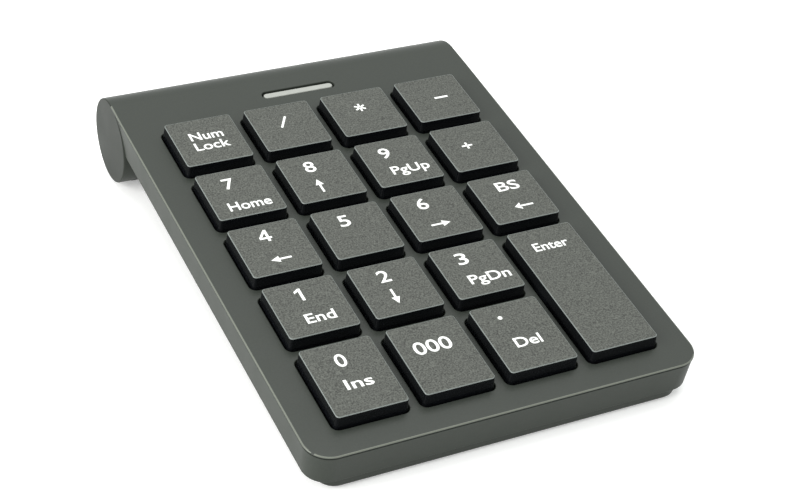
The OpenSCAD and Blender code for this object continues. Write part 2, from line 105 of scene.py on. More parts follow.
# ---------------------------------------------------------------- sizes, in millimetres
cover_low, cover_high = plate_box("top_cover")
HALF_W = cover_high.x
HAIR = 0.003  # keeps the round outlines just inside the CAD box
FRONT_Y = cover_low.y + HAIR
PLATE_TOP = cover_high.z
TUBE_R = (cover_high.z - cover_low.z) / 2 - HAIR
TUBE_Y = cover_high.y - TUBE_R - HAIR
TUBE_Z = PLATE_TOP - TUBE_R
PLATE_T = 1.6
PLATE_UNDER = PLATE_TOP - PLATE_T
CORNER_R = 5.5
WALL_H = 7.6
BASE_DROP = 2.1
WALL_BOTTOM = PLATE_TOP - WALL_H
LEAN = 0.06
LIP_H = 0.4
LIP_STEP = 0.1
LIP_ROUND = 0.3
LIP_TAPER = 7.0
GROOVE_DEPTH, GROOVE_H, GROOVE_BEVEL = 0.5, 0.3, 0.06
EDGE_ROUND = 0.22
END_X = HALF_W - LIP_STEP
TUBE_WALL, END_WALL = 1.8, 4
TUBE_INNER = TUBE_R - TUBE_WALL
END_INNER = HALF_W - END_WALL
TUBE_ROUND = 0.3
SIDE_WALL, FRONT_WALL = 2.5, 2.4
SIDE_LEDGE, FRONT_LEDGE, LEDGE_T = 1.8, 1.4, 1.2
SHELL_GAP = 1.3
SKIRT_FLARE = 0.3
FLANGE_REACH, FLANGE_T, FLANGE_GAP = 0.85, 0.7, 0.1
FLANGE_TOP = PLATE_UNDER - FLANGE_GAP
FLANGE_BOTTOM = FLANGE_TOP - FLANGE_T
WINDOW_GAP, WINDOW_R, WINDOW_ROUND = 0.65, 1.6, 0.22
WINDOW_CUT = 1.5  # how far a window's cutter reaches below the plate
KEY_ROUND = 0.15
KEY_ROOF = PLATE_TOP
STEM_R, STEM_BORE_R, PLUNGER_R = 4.6, 3.6, 2.0
POST_R, POST_Y = 1.9, 11.0
BOSS_R, BOSS_BORE = 1.5, 0.75
REST_POST_R, REST_POST_ROWS = 0.6, (-40, 0, 38)
GUIDE_T = 1.0
REST_POST_INSET = 0.3
SPOT_SPAN = 12.0  # points of one node nearer than this belong to one solid
ARC_STEPS = 8
TUBE_STEPS = 59
KEYS = [n for n in frame["nodes"] if n.startswith("key_") and n != "key_frame"]
sheet_low, sheet_high = plate_box("dome_sheet")
SHEET_T = 0.3
DOME_BASE = sheet_low.z + SHEET_T
DOME_TOP = sheet_high.z


def key_top(node):
    """Centre and half sizes of a key's flat top, in the plate frame."""
    low, high = plate_box(node)
    grow = SKIRT_FLARE + FLANGE_REACH
    centre = Vector(((low.x + high.x) / 2, (low.y + high.y) / 2))
    return centre, (high.x - low.x) / 2 - grow, (high.y - low.y) / 2 - grow


def body_of_key(node):
    return node + "_body"


# ---------------------------------------------------------------- materials
def new_material(name):
    material = bpy.data.materials.new(name)
    material.use_nodes = True
    tree = material.node_tree
    shader = tree.nodes["Principled BSDF"]
    return material, tree, shader


def noise(tree, size_mm, detail=2.0):
    """Noise whose blotches measure about size_mm, fixed to the piece."""
    place = tree.nodes.new("ShaderNodeTexCoord")
    texture = tree.nodes.new("ShaderNodeTexNoise")
    texture.inputs["Scale"].default_value = 1 / (size_mm * MM)
    texture.inputs["Detail"].default_value = detail
    texture.inputs["Roughness"].default_value = 0.55
    tree.links.new(place.outputs["Object"], texture.inputs["Vector"])
    return texture.outputs["Fac"]


def spread(tree, value, low, high):
    """The noise's middle range spread from low to high."""
    ranged = tree.nodes.new("ShaderNodeMapRange")
    ranged.inputs["From Min"].default_value = 0.3
    ranged.inputs["From Max"].default_value = 0.7
    ranged.inputs["To Min"].default_value = low
    ranged.inputs["To Max"].default_value = high
    tree.links.new(value, ranged.inputs["Value"])
    return ranged.outputs["Result"]


def tinted(tree, colour, amount):
    """The colour made darker or lighter by a factor that runs over the surface."""
    mix = tree.nodes.new("ShaderNodeVectorMath")
    mix.operation = "SCALE"
    mix.inputs[0].default_value = colour
    tree.links.new(amount, mix.inputs["Scale"])
    return mix.outputs["Vector"]


def bumped(tree, shader, heights):
    """Bumps laid over each other: pairs of a noise output and its height in millimetres."""
    normal = None
    for value, height in heights:
        bump = tree.nodes.new("ShaderNodeBump")
        bump.inputs["Strength"].default_value = 1.0
        bump.inputs["Distance"].default_value = height * MM
        tree.links.new(value, bump.inputs["Height"])
        if normal:
            tree.links.new(normal, bump.inputs["Normal"])
        normal = bump.outputs["Normal"]
    tree.links.new(normal, shader.inputs["Normal"])


PLASTIC_IOR = 1.46
BLOTCH_SIZE, BLOTCH_TONE, BLOTCH_ROUGH = 9.0, 0.025, 0.03


def moulded(name, colour, rough, grain=0.3, grain_height=0.01, speckle=0.06, waves=0.0, metallic=0.0,
            specular=0.5):
    """Moulded surface: fine grain, blotches in its roughness and tone, and slow waves from the mould."""
    material, tree, shader = new_material(name)
    fine = noise(tree, grain, 2.0)
    broad = noise(tree, BLOTCH_SIZE, 3.0)
    tone = tree.nodes.new("ShaderNodeMath")
    tone.operation = "MULTIPLY"
    tree.links.new(spread(tree, fine, 1 - speckle, 1 + speckle), tone.inputs[0])
    tree.links.new(spread(tree, broad, 1 - BLOTCH_TONE, 1 + BLOTCH_TONE), tone.inputs[1])
    tree.links.new(tinted(tree, colour, tone.outputs["Value"]), shader.inputs["Base Color"])
    tree.links.new(spread(tree, broad, rough - BLOTCH_ROUGH, rough + BLOTCH_ROUGH),
                   shader.inputs["Roughness"])
    heights = [(fine, grain_height)]
    if waves:
        heights.append((broad, waves))
    bumped(tree, shader, heights)
    shader.inputs["IOR"].default_value = PLASTIC_IOR
    shader.inputs["Metallic"].default_value = metallic
    shader.inputs["Specular IOR Level"].default_value = specular
    return material


CASE_GREY = (0.0285, 0.0335, 0.0275)
CASE = moulded("case_satin_grey", CASE_GREY, 0.42, grain=0.35, grain_height=0.006, speckle=0.08, waves=0.01,
               specular=0.42)
CASE_SIDE = moulded("case_side_grey", CASE_GREY, 0.48, grain=0.35, grain_height=0.008, speckle=0.08,
                    specular=0.22)
# The tube's end faces are the case plastic painted darker and made less glossy: painted shade towards the rear.
TUBE_END_PAINTED_SHADE = moulded("tube_end_painted_shade", (0.0200, 0.0235, 0.0195), 0.48, grain=0.35, grain_height=0.008,
                   speckle=0.08, specular=0.12)
# The lip's rounded edge is painted much lighter than the case grey: a painted highlight.
CASE_EDGE_HIGHLIGHT = moulded("case_lip_painted_highlight", (0.125, 0.135, 0.112), 0.34, grain=0.4, grain_height=0.002,
                    speckle=0.04)
BASE = moulded("base_satin_grey", (0.0265, 0.0310, 0.0255), 0.46, grain=0.3, grain_height=0.006, speckle=0.04,
               waves=0.01, specular=0.22)
# The groove under the lip is painted near-black: painted shade in the recess.
GROOVE_PAINTED_SHADE = moulded("case_groove_painted_shade", (0.009, 0.011, 0.009), 0.6, grain=0.3, grain_height=0.006, speckle=0.06,
               specular=0.1)
KEY_TOP = moulded("key_top_grain", (0.068, 0.072, 0.063), 0.6, grain=0.32, grain_height=0.08, speckle=0.7)
# The keycap top's rounded edge is painted light grey: a painted highlight.
KEY_EDGE_HIGHLIGHT = moulded("key_edge_painted_highlight", (0.17, 0.19, 0.18), 0.3, grain=0.5, grain_height=0.006, speckle=0.10)
KEY_WALL = moulded("key_wall_black", (0.004, 0.0045, 0.0055), 0.2, grain=0.6, grain_height=0.004,
                   speckle=0.08, specular=0.35)
LEGEND = moulded("legend_white", (0.86, 0.87, 0.85), 0.5, grain=0.25, grain_height=0.004, speckle=0.03)
LENS_PALE = moulded("lens_pale", (0.35, 0.36, 0.335), 0.3, grain=1.2, grain_height=0.004, speckle=0.03)
RUBBER = moulded("rubber_black", (0.014, 0.014, 0.015), 0.78, grain=0.35, grain_height=0.03, speckle=0.2)
GUIDE = moulded("guide_black", (0.01, 0.01, 0.011), 0.5, grain=0.4, grain_height=0.01, speckle=0.1)
SILICONE = moulded("silicone_grey", (0.42, 0.46, 0.43), 0.48, grain=0.5, grain_height=0.004, speckle=0.04)
FILM = moulded("contact_film", (0.45, 0.5, 0.48), 0.25, grain=2.5, grain_height=0.003, speckle=0.08)
BOARD = moulded("board_green", (0.01, 0.09, 0.04), 0.35, grain=0.8, grain_height=0.006, speckle=0.15)
CHIP = moulded("chip_black", (0.012, 0.012, 0.013), 0.55, grain=0.12, grain_height=0.006, speckle=0.2)
LAMP = moulded("lamp_pale", (0.75, 0.72, 0.5), 0.25, grain=0.8, grain_height=0.002, speckle=0.03)
STEEL = moulded("steel_plated", (0.52, 0.52, 0.5), 0.28, grain=0.2, grain_height=0.003, speckle=0.12,
                metallic=1.0)
SPRING_STEEL = moulded("spring_nickel", (0.6, 0.58, 0.53), 0.22, grain=0.3, grain_height=0.002, speckle=0.08,
                       metallic=1.0)
SWITCH = moulded("switch_pale", (0.5, 0.5, 0.48), 0.45, grain=0.3, grain_height=0.004, speckle=0.05)
CELL = moulded("cell_jacket", (0.03, 0.09, 0.22), 0.24, grain=3.0, grain_height=0.004, speckle=0.06)
RED = moulded("lead_red", (0.35, 0.02, 0.02), 0.4, grain=0.5, grain_height=0.004, speckle=0.08)
BLACK = moulded("lead_black", (0.012, 0.012, 0.012), 0.4, grain=0.5, grain_height=0.004, speckle=0.08)

SLOT_MATERIALS = {
    "case_plastic": CASE, "base_plastic": BASE, "key_plastic": KEY_TOP, "lens": LENS_PALE,
    "guide_plastic": GUIDE, "silicone": SILICONE, "contact_film": FILM, "board": BOARD, "chip": CHIP,
    "lamp": LAMP, "steel": STEEL, "spring_steel": SPRING_STEEL, "switch_plastic": SWITCH, "cell": CELL,
    "red_lead": RED, "black_lead": BLACK, "rubber": RUBBER,
}


def dress_cad_nodes():
    for part in frame["record"]["subparts"]:
        for slot in frame["nodes"][part["node"]].material_slots:
            slot.material = SLOT_MATERIALS[part["material_slot"]]


dress_cad_nodes()


# ---------------------------------------------------------------- mesh helpers
SMOOTH = 38  # faces that meet at less than this many degrees are shaded as one surface


def finish_piece(name, bm, materials, body, nodes=(), smooth=SMOOTH):
    """Turns a mesh in the plate frame into a piece that rides on its body."""
    bmesh.ops.recalc_face_normals(bm, faces=bm.faces)
    mesh = bpy.data.meshes.new(name)
    bm.to_mesh(mesh)
    bm.free()
    piece = bpy.data.objects.new(name, mesh)
    scene.collection.objects.link(piece)
    for material in materials:
        mesh.materials.append(material)
    return dress_piece(piece, body, nodes, smooth)


def dress_piece(piece, body, nodes=(), smooth=SMOOTH):
    """Moves a mesh from the plate frame to its place and says what it rides on and stands for."""
    mesh = piece.data
    mesh.transform(plate_to_world)
    mesh.shade_smooth()
    mesh.set_sharp_from_angle(angle=math.radians(smooth))
    weighted = piece.modifiers.new("even shading", "WEIGHTED_NORMAL")
    weighted.keep_sharp = True
    weighted.weight = 80
    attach(piece, body)
    if nodes:
        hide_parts(*nodes)
    return piece


def rounded_rect(half_x, half_y, radius, z, centre=(0, 0), steps=ARC_STEPS):
    points = []
    for k, (sx, sy) in enumerate(((1, 1), (-1, 1), (-1, -1), (1, -1))):
        for i in range(steps + 1):
            a = math.radians(90 * k + 90 * i / steps)
            points.append((centre[0] + sx * (half_x - radius) + radius * math.cos(a),
                           centre[1] + sy * (half_y - radius) + radius * math.sin(a), z))
    return points


def circle(radius, z, centre=(0, 0), count=4 * (ARC_STEPS + 1)):
    return [(centre[0] + radius * math.cos(math.tau * (i + 0.5) / count),
             centre[1] + radius * math.sin(math.tau * (i + 0.5) / count), z) for i in range(count)]


def loft(bm, rings, materials=None, first=0, last=0):
    """Closed skin through rings of equal count, with a material index for each band and both end faces."""
    loops = [[bm.verts.new(p) for p in ring] for ring in rings]
    count = len(loops[0])
    for k, (a, b) in enumerate(zip(loops, loops[1:])):
        for i in range(count):
            j = (i + 1) % count
            face = bm.faces.new((a[i], a[j], b[j], b[i]))
            face.material_index = materials[k] if materials else 0
    for loop, index in ((loops[0], first), (loops[-1], last)):
        bm.faces.new(loop).material_index = index


def quarter(steps):
    """Angles of a quarter round, ends included."""
    return [math.radians(90 * i / steps) for i in range(steps + 1)]


def solid(name, rings_list):
    """Object made of closed skins, one for each list of rings."""
    bm = bmesh.new()
    for rings in rings_list:
        loft(bm, rings)
    bmesh.ops.recalc_face_normals(bm, faces=bm.faces)
    mesh = bpy.data.meshes.new(name)
    bm.to_mesh(mesh)
    bm.free()
    made = bpy.data.objects.new(name, mesh)
    scene.collection.objects.link(made)
    return made


def combine(target, operation, *rings_list):
    """Joins the lofted solids to the target, or cuts them out of it."""
    other = solid("cutter", rings_list)
    modifier = target.modifiers.new("combine", "BOOLEAN")
    modifier.operation = operation
    modifier.solver = "EXACT"
    modifier.object = other
    bpy.context.view_layer.update()
    made = bpy.data.meshes.new_from_object(target.evaluated_get(bpy.context.evaluated_depsgraph_get()))
    target.modifiers.clear()
    old = target.data
    target.data = made
    bpy.data.meshes.remove(old)
    cutter_mesh = other.data
    bpy.data.objects.remove(other)
    bpy.data.meshes.remove(cutter_mesh)


def block(x0, x1, y0, y1, z0, z1):
    return [[(x0, y0, z), (x1, y0, z), (x1, y1, z), (x0, y1, z)] for z in (z0, z1)]


def rod(radius, z0, z1, centre, count=32):
    return [circle(radius, z, centre, count) for z in (z0, z1)]


def along_x(section, x0, x1):
    """A solid whose section of (y, z) points runs along the width of the case."""
    return [[(x, y, z) for y, z in section] for x in (x0, x1)]


def arc(radius, start, end, steps):
    """Points (y, z) on a circle round the tube's axis; angles in degrees, 0 to the rear and 90 up."""
    turns = [math.radians(start + (end - start) * i / steps) for i in range(steps + 1)]
    return [(TUBE_Y + radius * math.cos(a), TUBE_Z + radius * math.sin(a)) for a in turns]


def tube_hollow(half_length):
    return along_x(arc(TUBE_INNER, 0, 354, TUBE_STEPS), -half_length, half_length)


def give_materials(piece, *materials):
    """The piece's only materials, with the first on every face."""
    piece.data.materials.clear()
    for material in materials:
        piece.data.materials.append(material)
    for face in piece.data.polygons:
        face.material_index = 0


# ---------------------------------------------------------------- top cover
def case_ring(inset, rear_inset, z):
    """Plan outline with round front corners; the lip fades out towards the rear tube."""
    radius = CORNER_R - min(inset, 2.0)
    points = [(HALF_W - rear_inset, TUBE_Y, z), (HALF_W - inset, TUBE_Y - LIP_TAPER, z)]
    for side, start in ((1, 0), (-1, -90)):
        for i in range(ARC_STEPS + 5):
            a = math.radians(start - 90 * i / (ARC_STEPS + 4))
            points.append((side * (HALF_W - inset - radius) + radius * math.cos(a),
                           FRONT_Y + inset + radius + radius * math.sin(a), z))
    points += [(-HALF_W + inset, TUBE_Y - LIP_TAPER, z), (-HALF_W + rear_inset, TUBE_Y, z)]
    return points


def case_rings():
    """Outside of the case from the plate down: rounded lip, groove under it, leaning wall, rounded foot."""
    rings = []
    for a in quarter(4):
        inset = LIP_ROUND * (1 - math.sin(a))
        rings.append(case_ring(inset, LIP_STEP + inset, PLATE_TOP - LIP_ROUND * (1 - math.cos(a))))
    groove_top = PLATE_TOP - LIP_H
    rings.append(case_ring(0.0, LIP_STEP, groove_top + GROOVE_BEVEL))
    rings.append(case_ring(GROOVE_BEVEL, LIP_STEP, groove_top))
    rings.append(case_ring(GROOVE_DEPTH, LIP_STEP + 0.02, groove_top - GROOVE_BEVEL / 2))
    rings.append(case_ring(GROOVE_DEPTH, LIP_STEP + 0.04, groove_top - GROOVE_H))
    rings.append(case_ring(LIP_STEP + 0.05, LIP_STEP + 0.05, groove_top - GROOVE_H - GROOVE_BEVEL))
    foot_inset = LIP_STEP + LEAN * (PLATE_TOP - LIP_H - (WALL_BOTTOM + EDGE_ROUND))
    for a in quarter(5):
        inset = foot_inset + EDGE_ROUND * (1 - math.cos(a))
        rings.append(case_ring(inset, inset, WALL_BOTTOM + EDGE_ROUND * (1 - math.sin(a))))
    return rings


def tube_rings(count=112):
    """The tube from its left end face to the right one."""
    rings = []
    for side in (-1, 1):
        ends = []
        for a in quarter(3):
            radius = TUBE_R - TUBE_ROUND * (1 - math.cos(a))
            x = side * (END_X - TUBE_ROUND * (1 - math.sin(a)))
            turns = [math.tau * i / count for i in range(count)]
            ends.append([(x, TUBE_Y + radius * math.cos(t), TUBE_Z + radius * math.sin(t)) for t in turns])
        rings += ends[::-1] if side < 0 else ends
    return rings


def window_rings(node):
    """Cutter for a key's window, with the rounding of its upper edge."""
    centre, half_x, half_y = key_top(node)
    levels = [(PLATE_UNDER - WINDOW_CUT, 0.0), (PLATE_TOP - WINDOW_ROUND, 0.0)]
    for a in quarter(3)[1:]:
        levels.append((PLATE_TOP - WINDOW_ROUND * (1 - math.sin(a)), WINDOW_ROUND * (1 - math.cos(a))))
    levels.append((PLATE_TOP + 0.6, WINDOW_ROUND + 0.05))
    return [rounded_rect(half_x + WINDOW_GAP + grow, half_y + WINDOW_GAP + grow, WINDOW_R + grow, z, centre)
            for z, grow in levels]


lens_low, lens_high = plate_box("status_lens")
LENS_Y = (lens_low.y + lens_high.y) / 2
LENS_GAP, LENS_ROUND, LENS_SINK = 0.45, 0.3, 0.22
LENS_FLANGE_X, LENS_FLANGE_Y, LENS_FLANGE_T = 1.5, 1.0, 0.8
LENS_L = lens_high.x - lens_low.x - 2 * LENS_FLANGE_X
LENS_W = lens_high.y - lens_low.y - 2 * LENS_FLANGE_Y


def lens_slot_rings():
    half_x, half_y = LENS_L / 2 + LENS_GAP, LENS_W / 2 + LENS_GAP
    levels = [(PLATE_UNDER - WINDOW_CUT, 0.0), (PLATE_TOP - 0.12, 0.0), (PLATE_TOP, 0.12),
              (PLATE_TOP + 0.5, 0.2)]
    return [rounded_rect(half_x + grow, half_y + grow, half_y + grow - 0.001, z, (0, LENS_Y))
            for z, grow in levels]


def separate_spots(node):
    """Plan places of a node's separate round solids, found from the vertices at their outlines."""
    spots = []
    for vertex in frame["nodes"][node].data.vertices:
        p = world_to_plate @ vertex.co
        for spot in spots:
            if math.hypot(spot[0].x - p.x, spot[0].y - p.y) < SPOT_SPAN:
                spot.append(p)
                break
        else:
            spots.append([p])
    return [((min(p.x for p in spot) + max(p.x for p in spot)) / 2,
             (min(p.y for p in spot) + max(p.y for p in spot)) / 2) for spot in spots]


def add_bosses(cover):
    """Screw bosses and the posts that hold the guide plate down, all under the top plate."""
    board_top = plate_box("circuit_board")[1].z
    root = PLATE_UNDER + 0.02
    bosses, bores = [], []
    for node, low, roof in (("case_screws", WALL_BOTTOM + 0.1, 0.6), ("clamp_screws", board_top, 0.2)):
        for place in separate_spots(node):
            bosses.append(rod(BOSS_R, low, root, place))
            bores.append(rod(BOSS_BORE, low - 1, PLATE_UNDER - roof, place))
    for side in (-1, 1):
        for y in REST_POST_ROWS:
            place = (side * (sheet_high.x - REST_POST_INSET), y)
            bosses.append(rod(REST_POST_R, DOME_BASE + GUIDE_T, root, place, 24))
    combine(cover, "UNION", *bosses)
    combine(cover, "DIFFERENCE", *bores)


def cover_finish(centre, normal):
    """Material index of one of the top cover's faces: plate, lip edge with its painted highlight, side wall,
    groove with its painted shade or tube end with its painted shade.
    """
    x, y, z = centre
    groove_top = PLATE_TOP - LIP_H
    from_corner = math.hypot(max(abs(x) - (HALF_W - CORNER_R), 0), y - (FRONT_Y + CORNER_R))
    outside = abs(x) > HALF_W - 0.7 or y < FRONT_Y + 2.2 and from_corner > CORNER_R - 0.7
    # The tube's end faces take the painted shade.
    if abs(normal.x) > 0.3 and abs(x) > END_X - 0.35 and math.hypot(y - TUBE_Y, z - TUBE_Z) < TUBE_R:
        return 4
    # The lip's rounding takes the painted highlight.
    if outside and normal.z > 0.3 and groove_top < z < PLATE_TOP - 0.005 and y < TUBE_Y:
        return 1
    # The groove under the lip takes the painted shade.
    if outside and groove_top - GROOVE_H < z < groove_top and y < TUBE_Y - LIP_TAPER / 2:
        return 3
    return 2 if z < groove_top and normal.y < 0.3 else 0


def build_top_cover():
    cover = solid("case_top_cover", [case_rings()])
    combine(cover, "UNION", tube_rings())
    cavity = HALF_W - SIDE_WALL
    opening = cavity - SIDE_LEDGE
    front = FRONT_Y + FRONT_WALL
    combine(cover, "DIFFERENCE", block(-cavity, cavity, front, TUBE_Y, WALL_BOTTOM + LEDGE_T, PLATE_UNDER))
    combine(cover, "DIFFERENCE",
            block(-opening, opening, front + FRONT_LEDGE, TUBE_Y - 1, WALL_BOTTOM - 1, PLATE_UNDER - 1))
    combine(cover, "DIFFERENCE", tube_hollow(END_INNER))
    shell_front = TUBE_Y - TUBE_R - SHELL_GAP
    below = TUBE_Z - TUBE_R - 1
    step = [(shell_front, WALL_BOTTOM - 0.001), (shell_front, below), (TUBE_Y + TUBE_R + 1, below),
            (TUBE_Y + TUBE_R + 1, TUBE_Z), (TUBE_Y, TUBE_Z), (TUBE_Y, WALL_BOTTOM - 0.001)]
    combine(cover, "DIFFERENCE", along_x(step, -END_INNER, END_INNER))
    add_bosses(cover)
    combine(cover, "DIFFERENCE", *[window_rings(n) for n in KEYS], lens_slot_rings())
    give_materials(cover, CASE, CASE_EDGE_HIGHLIGHT, CASE_SIDE, GROOVE_PAINTED_SHADE, TUBE_END_PAINTED_SHADE)
    for face in cover.data.polygons:
        face.material_index = cover_finish(face.center, face.normal)
    dress_piece(cover, "case", ["top_cover"])


build_top_cover()


# ---------------------------------------------------------------- bottom cover and battery door
base_low, base_high = plate_box("bottom_cover")
BASE_HALF = HALF_W - 3
BASE_FRONT = base_low.y
BASE_REAR = TUBE_Y - TUBE_R - 0.3
BASE_BOTTOM = WALL_BOTTOM - BASE_DROP
BASE_R, BASE_ROUND = 4.0, 0.7
DOOR_GAP, DOOR_ROUND = 0.15, 0.3
door_low, door_high = plate_box("battery_door")
DOOR_HALF_L = door_high.x
DOOR_HALF_W = (door_high.y - door_low.y) / 2
BAY_X, BAY_WALL = 29.5, 1.2  # the walls at both ends of the battery bay
SCREW_R, SCREW_SINK = 1.45, 0.9
FOOT_R, FOOT_SINK = 4.05, 0.8


def base_rings():
    """Outside of the lower shell in front of the tube, from its seam down to its rounded edge."""
    levels = [(WALL_BOTTOM, 0.0), (BASE_BOTTOM + BASE_ROUND, 0.0)]
    for a in quarter(4)[1:]:
        levels.append((BASE_BOTTOM + BASE_ROUND * (1 - math.sin(a)), BASE_ROUND * (1 - math.cos(a))))
    rings = []
    for z, inset in levels:
        radius = BASE_R - inset * 0.5
        ring = [(BASE_HALF - inset, BASE_REAR, z)]
        for side, start in ((1, 0), (-1, -90)):
            for i in range(ARC_STEPS + 1):
                a = math.radians(start - 90 * i / ARC_STEPS)
                ring.append((side * (BASE_HALF - inset - radius) + radius * math.cos(a),
                             BASE_FRONT + inset + radius + radius * math.sin(a), z))
        ring.append((-BASE_HALF + inset, BASE_REAR, z))
        rings.append(ring)
    return rings


def drum(radius, x0, x1, top):
    """Disc across the tube, cut flat at height top."""
    section = [(y, min(z, top)) for y, z in arc(radius, 0, 354, TUBE_STEPS)]
    return along_x(section, x0, x1)


def build_bottom_cover():
    cover = solid("case_bottom_cover", [base_rings()])
    reach = END_INNER - 0.1
    combine(cover, "UNION",
            block(-reach, reach, BASE_REAR - 1, BASE_REAR + TUBE_WALL, BASE_BOTTOM, WALL_BOTTOM))
    shell = arc(TUBE_R, -0.6, -192.8, 88) + arc(TUBE_INNER, -195.4, -0.7, 72)
    combine(cover, "UNION", along_x(shell, -reach, reach))
    combine(cover, "DIFFERENCE", tube_hollow(HALF_W))
    door = block(-DOOR_HALF_L - DOOR_GAP, DOOR_HALF_L + DOOR_GAP, TUBE_Y - DOOR_HALF_W - DOOR_GAP,
                 TUBE_Y + DOOR_HALF_W + DOOR_GAP, TUBE_Z - TUBE_R - 1, TUBE_Z - 2)
    cutters = [door]
    for node, radius, depth in (("case_screws", SCREW_R, SCREW_SINK), ("front_feet", FOOT_R, FOOT_SINK)):
        for place in separate_spots(node):
            cutters.append(rod(radius, BASE_BOTTOM - 1, BASE_BOTTOM + depth, place))
    knob_low, knob_high = plate_box("switch_knob")
    y = (knob_low.y + knob_high.y) / 2
    slot_x0, slot_x1 = knob_low.x - 0.3, knob_high.x + 2.3
    cutters.append(block(slot_x0, slot_x1, y - 0.9, y + 0.9, BASE_BOTTOM - 1, WALL_BOTTOM + 1))
    combine(cover, "DIFFERENCE", *cutters)
    mesh = bmesh.new()
    mesh.from_mesh(cover.data)
    for side in (-1, 1):
        middle = side * BAY_X
        loft(mesh, drum(TUBE_INNER + 0.01, middle - BAY_WALL / 2, middle + BAY_WALL / 2, TUBE_Z + 3))
    bmesh.ops.recalc_face_normals(mesh, faces=mesh.faces)
    mesh.to_mesh(cover.data)
    mesh.free()
    give_materials(cover, BASE)
    dress_piece(cover, "case", ["bottom_cover"])


build_bottom_cover()


def build_battery_door():
    bm = bmesh.new()
    half = math.degrees(math.asin(DOOR_HALF_W / TUBE_R))
    inner_half = math.degrees(math.asin(DOOR_HALF_W / TUBE_INNER))
    rings = []
    ends = [(DOOR_HALF_L, DOOR_ROUND), (DOOR_HALF_L - 0.09, 0.09), (DOOR_HALF_L - DOOR_ROUND, 0.0)]
    for x, inset in [(-x, i) for x, i in ends] + ends[::-1]:
        trim = math.degrees((inset + 0.02) / TUBE_R)
        outer = arc(TUBE_R - inset, -90 - half + trim, -90 + half - trim, 40)
        inner = arc(TUBE_INNER, -90 + inner_half - trim, -90 - inner_half + trim, 40)
        rings.append([(x, y, z) for y, z in outer + inner])
    loft(bm, rings)
    finish_piece("battery_door_shell", bm, [BASE], "door", ["battery_door"])


build_battery_door()


# ---------------------------------------------------------------- status lens
def build_lens():
    bm = bmesh.new()
    half_x, half_y = LENS_L / 2, LENS_W / 2
    levels = []
    for a in quarter(4):
        inset = LENS_ROUND * (1 - math.sin(a))
        levels.append((half_x - inset, half_y - inset, lens_high.z - LENS_SINK * (1 - math.cos(a))))
    levels.append((half_x, half_y, PLATE_UNDER))
    levels.append((half_x + LENS_FLANGE_X, half_y + LENS_FLANGE_Y, PLATE_UNDER))
    levels.append((half_x + LENS_FLANGE_X, half_y + LENS_FLANGE_Y, PLATE_UNDER - LENS_FLANGE_T))
    loft(bm, [rounded_rect(hx, hy, hy - 0.001, z, (0, LENS_Y)) for hx, hy, z in levels])
    finish_piece("status_lens_bar", bm, [LENS_PALE], "case", ["status_lens"], smooth=50)


build_lens()


# ---------------------------------------------------------------- keycaps
TOP, HIGHLIGHT_BAND, WALL = range(3)  # the keycap's material indices; the second is the painted highlight on the top's rounded edge


def build_keycap(node):
    """Keycap from its top down the skirt, over the flange, up to the roof inside, and down its stem."""
    centre, half_x, half_y = key_top(node)

    def outline(grow, radius, z):
        return rounded_rect(half_x + grow, half_y + grow, radius, z, centre)

    rings = []
    for a in quarter(4):
        inset = KEY_ROUND * (1 - math.sin(a))
        rings.append(outline(-inset, 0.75 - inset * 0.5, -KEY_ROUND * (1 - math.cos(a))))
    # The rounded top edge takes the painted highlight.
    bands = [HIGHLIGHT_BAND] * (len(rings) - 1)
    flare = SKIRT_FLARE / -FLANGE_TOP
    flange = SKIRT_FLARE + FLANGE_REACH
    for grow, radius, z in ((flare * 0.5, 0.78, -0.5), (flare * -PLATE_TOP, 0.85, PLATE_TOP),
                            (SKIRT_FLARE, 0.9, FLANGE_TOP), (flange, 1.2, FLANGE_TOP),
                            (flange, 1.2, FLANGE_BOTTOM), (-1.0, 0.5, FLANGE_BOTTOM), (-1.0, 0.5, KEY_ROOF)):
        rings.append(outline(grow, radius, z))
    for radius, z in ((STEM_R, KEY_ROOF), (STEM_R, DOME_TOP), (STEM_BORE_R, DOME_TOP),
                      (STEM_BORE_R, KEY_ROOF), (PLUNGER_R, KEY_ROOF), (PLUNGER_R, DOME_TOP)):
        rings.append(circle(radius, z, centre))
    bands += [WALL] * (len(rings) - 1 - len(bands))
    bm = bmesh.new()
    loft(bm, rings, bands, first=TOP, last=WALL)
    if node == "key_enter":
        for side in (-1, 1):
            loft(bm, rod(POST_R, DOME_TOP, KEY_ROOF + 0.01, (centre.x, centre.y + side * POST_Y)),
                 [WALL], first=WALL, last=WALL)
    finish_piece(node + "_cap", bm, [KEY_TOP, KEY_EDGE_HIGHLIGHT, KEY_WALL], body_of_key(node), [node],
                 smooth=42)


for key in KEYS:
    build_keycap(key)


# ---------------------------------------------------------------- legends
LEGEND_T = 0.03
LEGEND_RISE = 0.015  # how far the print stands above the key top
CAPITAL_SHARE = 0.73  # height of the typeface's capitals, as a share of its size
SHAFT = 0.5


def text_points(text, width, height, bold):
    """Flat outline mesh of a text, centred, with its capitals' height and its whole width in millimetres."""
    curve = bpy.data.curves.new("legend", "FONT")
    curve.body = text
    curve.size = height / CAPITAL_SHARE
    curve.offset = bold
    curve.extrude = LEGEND_T / 2
    curve.resolution_u = 6
    carrier = bpy.data.objects.new("legend", curve)
    scene.collection.objects.link(carrier)
    bpy.context.view_layer.update()
    mesh = bpy.data.meshes.new_from_object(carrier.evaluated_get(bpy.context.evaluated_depsgraph_get()))
    bpy.data.objects.remove(carrier)
    bpy.data.curves.remove(curve)
    bm = bmesh.new()
    bm.from_mesh(mesh)
    bpy.data.meshes.remove(mesh)
    xs = [v.co.x for v in bm.verts]
    ys = [v.co.y for v in bm.verts]
    middle = Vector(((min(xs) + max(xs)) / 2, (min(ys) + max(ys)) / 2, 0))
    for v in bm.verts:
        v.co -= middle
        v.co.x *= width / (max(xs) - min(xs))
    bmesh.ops.remove_doubles(bm, verts=bm.verts, dist=0.0004)
    return bm


